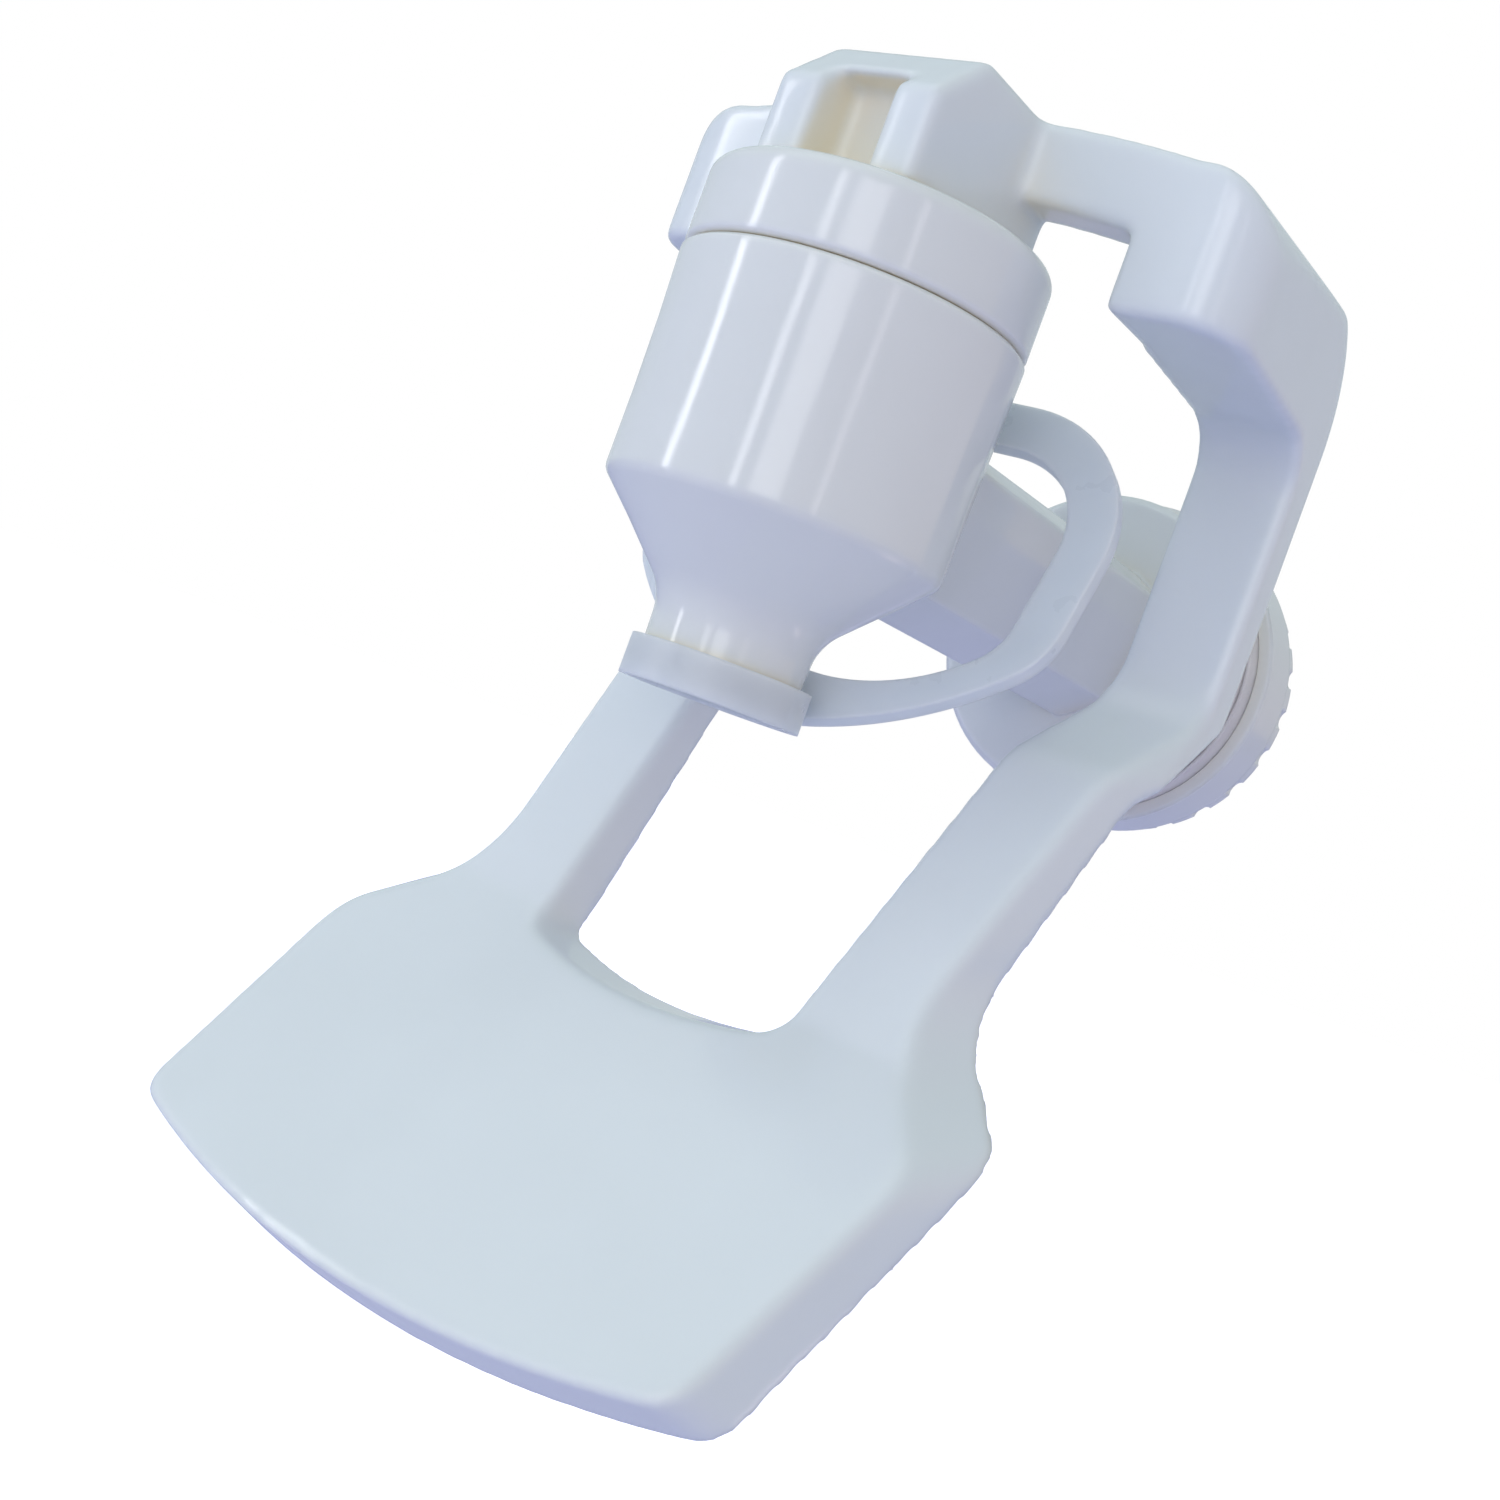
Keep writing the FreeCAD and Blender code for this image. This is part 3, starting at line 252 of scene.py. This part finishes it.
clear_silicone = milky_silicone("clear_silicone", (0.65, 0.70, 0.75), 0.30)
seal_rubber = milky_silicone("seal_rubber", (0.80, 0.77, 0.76), 0.38)
spring_steel = drawn_wire("spring_steel")
stem_white = moulded_plastic("stem_white", (0.76, 0.75, 0.70), 0.3, 0.42, 0.06 * MM, 0.3 * MM)
print("soft parts", clear_silicone.name, seal_rubber.name, "and wire", spring_steel.name)


# %% [markdown]
# Each solid gets the finish of what it is made of. Only the material slots are
# set: the solids themselves stay as they are.

# %% Give each solid its finish
FINISHES = {
    "valve_body": body_white, "cap": body_white, "lock_nut": body_white,
    "push_lever": lever_white, "nozzle_strap": clear_silicone,
    "flange_gasket": seal_rubber, "nut_gasket": seal_rubber,
    "cap_seal": seal_rubber, "seat_plug": seal_rubber,
    "return_spring": spring_steel, "stem": stem_white,
}
for name, finish in FINISHES.items():
    nodes[name].data.materials.clear()
    nodes[name].data.materials.append(finish)
print("finished", len(FINISHES), "solids")


# %% [markdown]
# The lever's rims are rounder than its solid, because the mould has no sharp
# corner anywhere. A bevel of crossing rims on a curved form tangles, so the
# rims are worn down instead. A fine Remesh gives the lever an even skin, a
# Smooth wears its rims and leaves flat areas flat, and a Decimate takes out the
# faces that the flat areas don't need.

# %% Wear the lever's rims round
def wear_rims(solid, cell, passes, share):
    """Gives a solid an even skin, smooths it and keeps a share of the faces."""
    skin = solid.modifiers.new("even skin", "REMESH")
    skin.mode = "VOXEL"
    skin.voxel_size = cell
    skin.use_smooth_shade = True
    worn = solid.modifiers.new("worn rims", "SMOOTH")
    worn.factor = 0.5
    worn.iterations = passes
    fewer = solid.modifiers.new("fewer faces", "DECIMATE")
    fewer.ratio = share


lever = nodes["push_lever"]
wear_rims(lever, 0.22 * MM, 56, 0.20)
faces = lever.evaluated_get(bpy.context.evaluated_depsgraph_get()).data.polygons
print("the lever's skin has", len(faces), "faces")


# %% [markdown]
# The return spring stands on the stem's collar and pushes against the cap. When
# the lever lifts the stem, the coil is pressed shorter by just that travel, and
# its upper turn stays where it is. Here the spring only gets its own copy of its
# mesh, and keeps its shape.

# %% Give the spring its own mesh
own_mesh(nodes["return_spring"])


# %% [markdown]
# The tail's screw thread is a ridge that winds along it. On the real tap it is
# moulded with the body. Here a small four-sided outline is set down again and
# again round the shank's axis, a little further along each time, and faces
# join each copy to the next. The two end copies are smaller and lie a twelfth
# of a turn further on, so the ridge sinks into the tail as a moulded one does.

# %% Screw thread on the tail
THREAD_ROOT, THREAD_CREST, THREAD_PITCH = 7.6 * MM, 8.35 * MM, 2.0 * MM
THREAD_START, THREAD_END = 13.9 * MM, 22.6 * MM
STEPS_A_TURN = 48
RUN_OUT = 1 / 12
SUNK = 0.88


def screw_ridge(name, root, crest, start, end, pitch):
    """A ridge that winds round the Y axis between two places."""
    half = pitch * 0.42
    outline = [(root, -half), (crest, -half * 0.3), (crest, half * 0.3), (root, half)]
    turns = (end - start) / pitch
    count = round(STEPS_A_TURN * turns)
    winding = [(turns * step / count, 1) for step in range(count + 1)]
    verts = []
    for turn, size in [(-RUN_OUT, SUNK), *winding, (turns + RUN_OUT, SUNK)]:
        across, down = size * math.cos(math.tau * turn), size * math.sin(math.tau * turn)
        along = start + pitch * turn
        verts += [(radius * across, along + shift, -radius * down) for radius, shift in outline]
    last = len(verts) - 4
    faces = [(0, 1, 2, 3), (last + 3, last + 2, last + 1, last)]
    for base in range(0, last, 4):
        for here, after in ((0, 1), (1, 2), (2, 3), (3, 0)):
            faces.append((base + here, base + 4 + here, base + 4 + after, base + after))
    mesh = bpy.data.meshes.new(name)
    mesh.from_pydata(verts, [], faces)
    ridge = bpy.data.objects.new(name, mesh)
    bpy.context.scene.collection.objects.link(ridge)
    mesh.materials.append(body_white)
    return ridge


thread = screw_ridge(
    "tail_thread", THREAD_ROOT, THREAD_CREST, THREAD_START, THREAD_END, THREAD_PITCH,
)
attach(thread, "tap")
print("thread ridge faces", len(thread.data.polygons))


# %% [markdown]
# The set is a pale floor under a pale sky. The photograph's white is cut out,
# so the camera sees the sky as plain white, and sees the floor as its own lit
# colour with a little light added, which is white where no shadow falls. Only
# camera rays get that addition, so it never lights the object.

# %% Floor
def plain_floor(height, half, colour, lift):
    """A wide floor at a height, which the camera sees as near white."""
    shape = bmesh.new()
    bmesh.ops.create_grid(shape, x_segments=1, y_segments=1, size=half)
    bmesh.ops.translate(shape, verts=shape.verts, vec=(0, 0, height))
    mesh = bpy.data.meshes.new("floor")
    shape.to_mesh(mesh)
    shape.free()
    floor = bpy.data.objects.new("floor", mesh)
    bpy.context.scene.collection.objects.link(floor)
    material, shader = new_material("floor_white")
    tree = material.node_tree
    shader.inputs["Base Color"].default_value = (*colour, 1)
    shader.inputs["Roughness"].default_value = 1.0
    shader.inputs["Specular IOR Level"].default_value = 0.0
    rays = tree.nodes.new("ShaderNodeLightPath")
    shader.inputs["Emission Color"].default_value = (1, 1, 1, 1)
    scale = tree.nodes.new("ShaderNodeMath")
    scale.operation = "MULTIPLY"
    scale.inputs[1].default_value = lift
    tree.links.new(rays.outputs["Is Camera Ray"], scale.inputs[0])
    tree.links.new(scale.outputs[0], shader.inputs["Emission Strength"])
    mesh.materials.append(material)


plain_floor(cad_low.z - 0.06, half=6.0, colour=(0.65, 0.63, 0.90), lift=0.76)


# %% [markdown]
# The sky is cool grey above, warm on the right, and lilac near the ground. That
# gives the plastic its blue upper faces and lilac undersides. Camera rays see
# plain white in its place.

# %% Sky
def add_sky(above, left, right, below):
    """A sky whose colour turns with the height, and from left to right."""
    world = bpy.data.worlds.new("studio")
    bpy.context.scene.world = world
    world.use_nodes = True
    tree = world.node_tree
    lit = tree.nodes["Background"]
    seen = tree.nodes.new("ShaderNodeBackground")
    seen.inputs["Color"].default_value = (1, 1, 1, 1)
    where = tree.nodes.new("ShaderNodeTexCoord")
    parts = tree.nodes.new("ShaderNodeSeparateXYZ")
    tree.links.new(where.outputs["Generated"], parts.inputs[0])
    colour = left
    turns = (("X", 0.0, 0.7, right), ("Z", 0.1, 0.7, above), ("Z", 0.0, -0.3, below))
    for axis, start, end, other in turns:
        reach = tree.nodes.new("ShaderNodeMapRange")
        reach.inputs["From Min"].default_value = start
        reach.inputs["From Max"].default_value = end
        tree.links.new(parts.outputs[axis], reach.inputs["Value"])
        colour = mix_colour(tree, reach.outputs["Result"], colour, other)
    tree.links.new(colour, lit.inputs["Color"])
    either = tree.nodes.new("ShaderNodeMixShader")
    rays = tree.nodes.new("ShaderNodeLightPath")
    tree.links.new(rays.outputs["Is Camera Ray"], either.inputs[0])
    tree.links.new(lit.outputs[0], either.inputs[1])
    tree.links.new(seen.outputs[0], either.inputs[2])
    tree.links.new(either.outputs[0], tree.nodes["World Output"].inputs["Surface"])


add_sky(
    above=(0.49, 0.58, 0.61), left=(0.62, 0.68, 0.70),
    right=(0.82, 0.69, 0.60), below=(0.42, 0.41, 0.62),
)
bpy.context.scene.view_settings.view_transform = "Standard"


# %% [markdown]
# The lamps are wide and soft, as daylight in a room. One stands for the
# ceiling. Three fills, in front, low in front and behind, are slightly warm.
# They light the plastic but are never seen in its gloss.

# %% Room lamps
def soft_lamp(name, place, aim, size, power, colour=(1, 1, 1)):
    """A rectangular lamp that looks at a point, with its power in watts."""
    data = bpy.data.lights.new(name, "AREA")
    data.shape = "RECTANGLE"
    data.size, data.size_y = size
    data.energy = power
    data.color = colour
    lamp = bpy.data.objects.new(name, data)
    lamp.location = place
    lamp.rotation_euler = (Vector(aim) - Vector(place)).to_track_quat("-Z", "Y").to_euler()
    lamp.visible_camera = False
    bpy.context.scene.collection.objects.link(lamp)
    return lamp


middle = (cad_low + cad_high) / 2
cup = Vector((0, -0.0565, 0.005))
soft_lamp(
    "ceiling", (-0.2, -0.3, 0.8), middle, size=(0.7, 0.7),
    power=0.70, colour=(0.92, 0.98, 1.0),
)
fills = [
    soft_lamp(
        "front", cup + Vector((0.25, -0.90, 0.22)), cup, size=(0.6, 0.6),
        power=0.95, colour=(1.0, 0.98, 0.94),
    ),
    soft_lamp(
        "low_fill", cup + Vector((0.38, -0.86, -0.14)), cup, size=(0.5, 0.5),
        power=2.1, colour=(1.0, 0.985, 0.95),
    ),
    soft_lamp(
        "rear_fill", (-0.20, 0.90, -0.02), middle, size=(0.7, 0.5),
        power=1.5, colour=(1.0, 0.97, 0.90),
    ),
]
for fill in fills:
    fill.visible_glossy = False
print("room lamps", len(fills) + 1)


# %% [markdown]
# A tall narrow window lights the cup from the left. A round cup shows such
# shapes as upright streaks, so three more panes are seen in reflections only.
# So is a small warm glow behind the paddle, which its side reflects.

# %% Window and panes
soft_lamp(
    "window_left", cup + Vector((-0.50, -0.49, 0.10)), cup, size=(0.06, 0.55), power=0.8,
)
reflected = [
    soft_lamp(
        "pane_narrow", cup + Vector((0.03, -0.76, 0.14)), cup, size=(0.07, 0.5),
        power=0.45,
    ),
    soft_lamp(
        "pane_wide", cup + Vector((0.30, -0.70, 0.14)), cup, size=(0.26, 0.5),
        power=0.95,
    ),
    soft_lamp(
        "pane_far", cup + Vector((0.60, -0.40, 0.10)), cup, size=(0.05, 0.5),
        power=0.16, colour=(1.0, 0.94, 0.96),
    ),
    soft_lamp(
        "glow_low", (0.106, 0.037, -0.108), (0.028, -0.085, -0.06), size=(0.05, 0.04),
        power=0.012, colour=(1.0, 0.86, 0.82),
    ),
]
for lamp in reflected:
    lamp.visible_diffuse = False
print("lamps seen in reflections only", len(reflected))


# %% [markdown]
# The camera stands close, low and to the right, and looks up at the tap, which
# is why the paddle looks so large. It is rolled, as the photographer's was.

# %% Camera
LENS_LENGTH_MM = 47.865
CAMERA_PLACE = (0.087007, -0.175389, -0.022805)
data = bpy.data.cameras.new("camera")
data.lens = LENS_LENGTH_MM
data.sensor_width = 36
data.clip_start = 0.01
camera = bpy.data.objects.new("camera", data)
across = Vector((0.7747, 0.5301, 0.3450)).normalized()
back_axis = Vector((0.5679, -0.8230, -0.0106))
back_axis = (back_axis - across * back_axis.dot(across)).normalized()
up = back_axis.cross(across)
turn = Matrix((across, up, back_axis)).transposed()
camera.matrix_world = Matrix.Translation(CAMERA_PLACE) @ turn.to_4x4()
bpy.context.scene.collection.objects.link(camera)
bpy.context.scene.camera = camera
print("camera at", CAMERA_PLACE, "with a lens of", LENS_LENGTH_MM, "mm")
